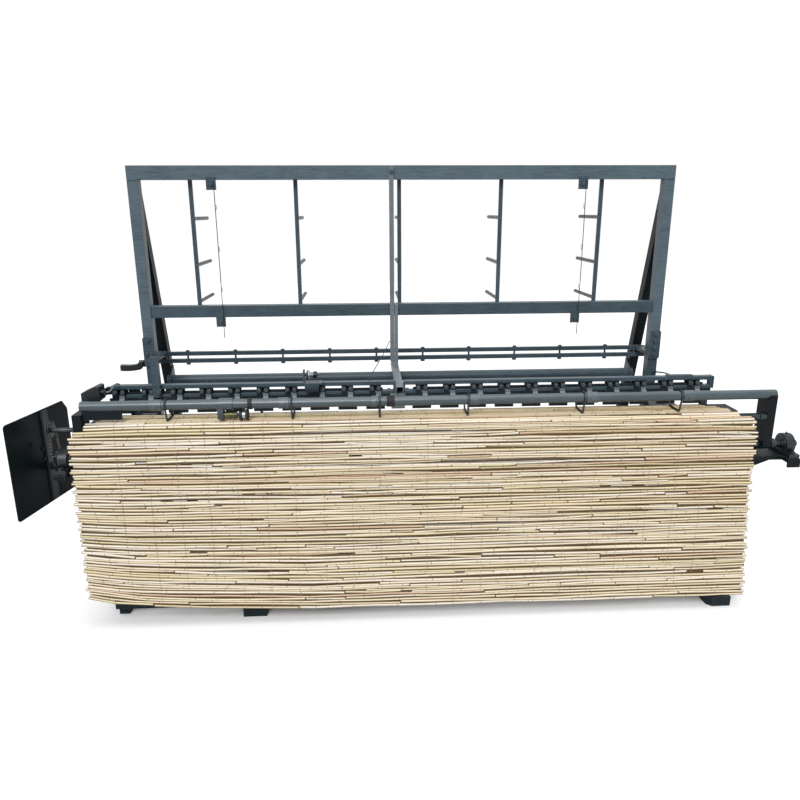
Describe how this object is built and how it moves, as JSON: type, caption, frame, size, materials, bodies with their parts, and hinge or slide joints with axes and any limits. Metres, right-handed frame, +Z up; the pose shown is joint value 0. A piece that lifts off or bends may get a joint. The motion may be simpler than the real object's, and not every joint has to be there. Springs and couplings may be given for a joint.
{
  "type": "mat weaving machine",
  "caption": "Floor-standing loom that binds reeds into mats, with a yarn creel, a needle beam, a presser pipe and a hanging reed mat.",
  "frame": {"origin": "centre of the floor rectangle under the whole machine", "axes": "+X to the right seen from the mat's side, +Y towards the creel's struts at the back, +Z up"},
  "size_m": [2.734, 0.962, 1.64],
  "materials": {
    "paint": "satin",
    "dark_paint": "satin",
    "steel": "satin",
    "bright_steel": "polished",
    "cast": "rough",
    "drive_paint": "satin",
    "reed": "matte",
    "rubber": "matte",
    "plastic": "matte",
    "cable": "satin"
  },
  "bodies": {
    "frame": {"floor_skids": "dark_paint", "base_rails": "dark_paint", "front_legs": "dark_paint", "bearing_shelves": "dark_paint", "lower_posts": "paint", "creel_posts": "paint", "splice_plates": "paint", "creel_top_rail": "paint", "creel_mid_rail": "paint", "rear_struts": "dark_paint", "strut_brackets": "paint", "centre_upright": "paint", "centre_tube": "paint", "beam_arms": "paint", "spool_bars": "paint", "spool_pegs": "steel", "wire_lugs": "paint", "guide_wires": "steel", "guide_bars": "paint", "guide_pins": "paint", "rear_crossbar": "paint", "frame_bolts": "steel", "beam_bars": "paint", "beam_ends": "paint", "knitting_heads": "dark_paint", "head_bolts": "dark_paint", "thread_fingers": "bright_steel", "side_guide": "paint", "switch_box": "plastic", "switch_cable": "cable", "tensioner_bracket": "steel", "reed_ledge": "dark_paint", "rocker_brackets": "paint", "mat": "reed", "presser_pipe": "paint", "presser_arms": "paint", "presser_hooks": "dark_paint", "pipe_clamps": "paint", "counter_housing": "dark_paint", "pillow_blocks": "cast", "roller_bushes": "steel", "guard_plate": "dark_paint", "guard_bracket": "dark_paint", "roller_chain": "steel", "drive_chain": "steel", "motor": "drive_paint", "gearbox": "drive_paint", "v_belt": "rubber", "lever_bracket": "dark_paint"},
    "main_shaft": {"main_shaft": "steel"},
    "draw_roller": {"draw_roller": "steel"},
    "needle_rocker": {"needle_shaft": "steel", "needles": "steel"},
    "connecting_rod": {"connecting_rod": "steel"},
    "crank": {"crank_shaft": "steel"},
    "gearbox_input": {"gearbox_pulley": "cast"},
    "motor_rotor": {"motor_pulley": "cast"},
    "counter_wheel": {"counter_wheel": "rubber"},
    "tension_knob": {"tension_knob": "bright_steel"},
    "clutch_lever": {"clutch_lever": "plastic"}
  },
  "joints": [
    {"name": "main_shaft_turn", "type": "hinge", "parent": "frame", "child": "main_shaft", "pos_m": [-0.03704, -0.341, 0.652], "axis": [1, 0, 0], "continuous": true},
    {"name": "roller_turn", "type": "hinge", "parent": "frame", "child": "draw_roller", "pos_m": [-0.03704, -0.362, 0.76435], "axis": [1, 0, 0], "continuous": true},
    {"name": "crank_turn", "type": "hinge", "parent": "frame", "child": "crank", "pos_m": [-0.53704, -0.089, 0.16752], "axis": [1, 0, 0], "continuous": true},
    {"name": "gearbox_input_turn", "type": "hinge", "parent": "frame", "child": "gearbox_input", "pos_m": [-0.43704, -0.089, 0.16752], "axis": [1, 0, 0], "continuous": true},
    {"name": "motor_turn", "type": "hinge", "parent": "frame", "child": "motor_rotor", "pos_m": [-0.43704, -0.239, 0.19], "axis": [1, 0, 0], "continuous": true},
    {"name": "counter_turn", "type": "hinge", "parent": "frame", "child": "counter_wheel", "pos_m": [-0.62004, -0.359, 0.80625], "axis": [1, 0, 0], "continuous": true},
    {"name": "needle_swing", "type": "hinge", "parent": "frame", "child": "needle_rocker", "pos_m": [-0.03704, -0.189, 0.815], "axis": [1, 0, 0], "range_deg": [-15, 15]},
    {"name": "rod_swing", "type": "hinge", "parent": "needle_rocker", "child": "connecting_rod", "pos_m": [-0.60204, -0.089, 0.815], "axis": [1, 0, 0], "range_deg": [-15, 15]},
    {"name": "tension_knob_turn", "type": "hinge", "parent": "frame", "child": "tension_knob", "pos_m": [-0.38804, -0.271, 0.922], "axis": [1, 0, 0], "continuous": true},
    {"name": "clutch_lever_tilt", "type": "hinge", "parent": "frame", "child": "clutch_lever", "pos_m": [-1.07304, 0.021, 0.905], "axis": [0, 1, 0], "range_deg": [-25, 25]}
  ],
  "couplings": [
    {"joint": "roller_turn", "follows": "main_shaft_turn", "ratio": 1},
    {"joint": "crank_turn", "follows": "main_shaft_turn", "ratio": 1},
    {"joint": "gearbox_input_turn", "follows": "main_shaft_turn", "ratio": 10},
    {"joint": "motor_turn", "follows": "main_shaft_turn", "ratio": 14.286},
    {"joint": "counter_turn", "follows": "main_shaft_turn", "ratio": -0.625},
    {"joint": "rod_swing", "follows": "needle_swing", "ratio": -1}
  ]
}
